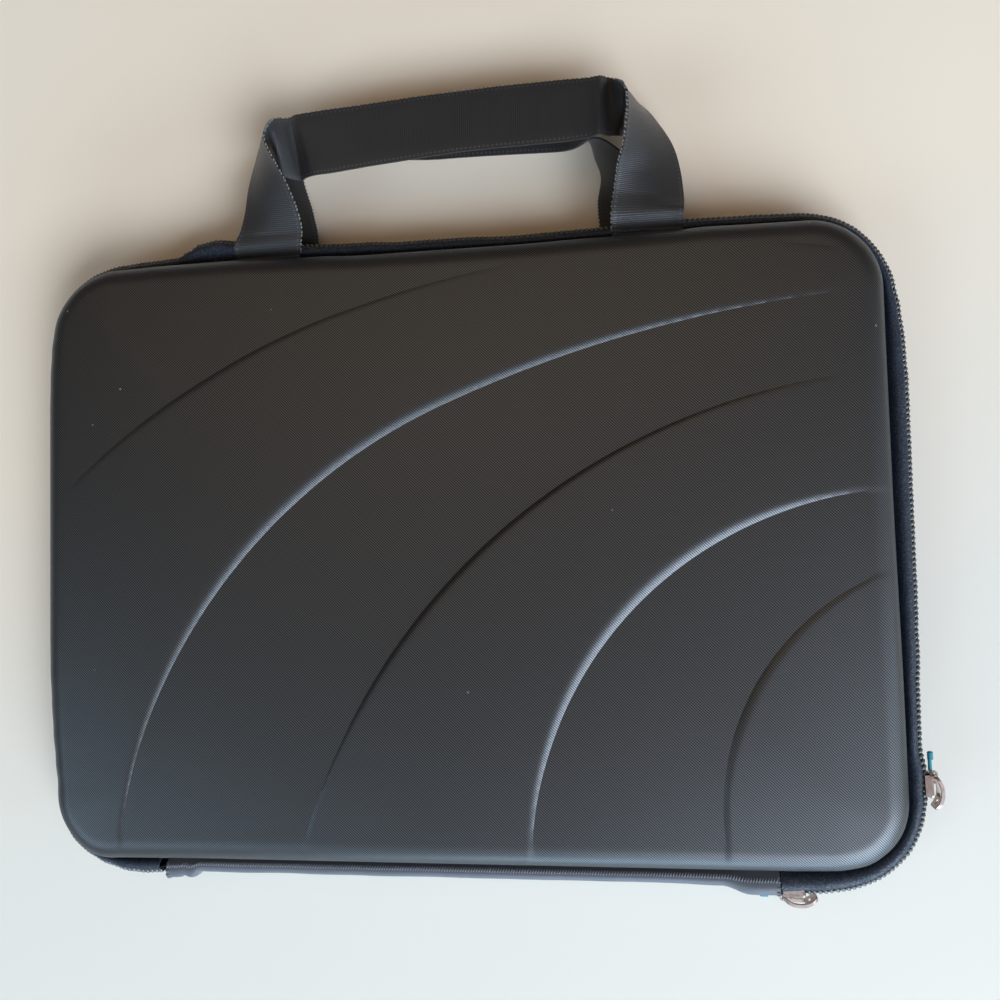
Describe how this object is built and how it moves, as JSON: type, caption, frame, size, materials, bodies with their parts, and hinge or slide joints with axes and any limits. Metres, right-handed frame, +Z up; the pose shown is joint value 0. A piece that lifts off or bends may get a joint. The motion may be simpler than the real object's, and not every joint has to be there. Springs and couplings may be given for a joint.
{
  "type": "zipped hard-shell laptop case",
  "caption": "Zipped hard-shell laptop case: moulded arcs on the lid, fabric spine, ribbon carrying handles, corner straps and a mesh pocket inside.",
  "frame": {"origin": "centre of the base shell's flat outer face", "axes": "+X along the spine towards the zip sliders, +Y from the spine to the handles, +Z up through the thickness"},
  "size_m": [0.3605, 0.3216, 0.034],
  "materials": {
    "shell_twill": "matt",
    "lining_fleece": "matt",
    "binding_tape": "matt",
    "zip_tape": "matt",
    "zip_coil": "satin",
    "spine_ribbon": "satin",
    "handle_ribbon": "satin",
    "slider_metal": "satin",
    "pull_cord": "matt",
    "strap_elastic": "matt",
    "pocket_mesh": "matt"
  },
  "bodies": {
    "base": {"base_shell": "shell_twill", "base_lining": "lining_fleece", "base_binding": "binding_tape", "base_zip_tape": "zip_tape", "base_zip_coil": "zip_coil", "base_zip_tape_end_right": "zip_tape", "base_zip_tape_end_left": "zip_tape", "base_zip_coil_end_right": "zip_coil", "base_zip_coil_end_left": "zip_coil", "base_spine_flap": "spine_ribbon", "back_handle_roots": "handle_ribbon", "strap_front_left": "strap_elastic", "strap_front_right": "strap_elastic", "strap_spine_left": "strap_elastic", "strap_spine_right": "strap_elastic"},
    "spine": {"spine_strip": "spine_ribbon"},
    "lid": {"lid_shell": "shell_twill", "lid_lining": "lining_fleece", "lid_binding": "binding_tape", "lid_zip_tape": "zip_tape", "lid_zip_tape_end_right": "zip_tape", "lid_zip_tape_end_left": "zip_tape", "lid_zip_coil": "zip_coil", "lid_zip_coil_end_right": "zip_coil", "lid_zip_coil_end_left": "zip_coil", "lid_spine_flap": "spine_ribbon", "front_handle_roots": "handle_ribbon", "mesh_pocket": "pocket_mesh", "pocket_hem": "strap_elastic"},
    "front_handle": {"front_handle": "handle_ribbon"},
    "back_handle": {"back_handle": "handle_ribbon"},
    "slider_a": {"slider_a": "slider_metal", "pull_cord_a": "pull_cord"},
    "slider_b": {"slider_b": "slider_metal", "pull_cord_b": "pull_cord"},
    "puller_a": {"puller_a": "slider_metal"},
    "puller_b": {"puller_b": "slider_metal"}
  },
  "joints": [
    {"name": "lid_fold", "type": "hinge", "parent": "spine", "child": "lid", "pos_m": [0, -0.124, 0.0219], "axis": [1, 0, 0], "range_deg": [0, 90], "deforming": ["lid_zip_tape_end_right", "lid_zip_tape_end_left", "lid_zip_coil_end_right", "lid_zip_coil_end_left"]},
    {"name": "spine_fold", "type": "hinge", "parent": "base", "child": "spine", "pos_m": [0, -0.124, 0.0121], "axis": [1, 0, 0], "range_deg": [0, 90], "deforming": ["base_zip_tape_end_right", "base_zip_tape_end_left", "base_zip_coil_end_right", "base_zip_coil_end_left"]},
    {"name": "front_handle_swing", "type": "hinge", "parent": "lid", "child": "front_handle", "pos_m": [0.0045, 0.1249, 0.02225], "axis": [1, 0, 0], "range_deg": [0, 95]},
    {"name": "back_handle_swing", "type": "hinge", "parent": "base", "child": "back_handle", "pos_m": [0.001, 0.1249, 0.01175], "axis": [-1, 0, 0], "range_deg": [0, 95]},
    {"name": "slider_a_slide", "type": "slide", "parent": "spine", "child": "slider_a", "axis": [1, 0, 0], "range_m": [0, 0.0095]},
    {"name": "slider_b_slide", "type": "slide", "parent": "base", "child": "slider_b", "axis": [0, 1, 0], "range_m": [0, 0.178]},
    {"name": "puller_a_swing", "type": "hinge", "parent": "slider_a", "child": "puller_a", "pos_m": [0.1244, -0.1329, 0.017], "axis": [0, 0, -1], "range_deg": [0, 135]},
    {"name": "puller_b_swing", "type": "hinge", "parent": "slider_b", "child": "puller_b", "pos_m": [0.1799, -0.0874, 0.017], "axis": [0, 0, 1], "range_deg": [0, 135]}
  ],
  "couplings": [
    {"joint": "spine_fold", "follows": "lid_fold", "ratio": 1}
  ]
}
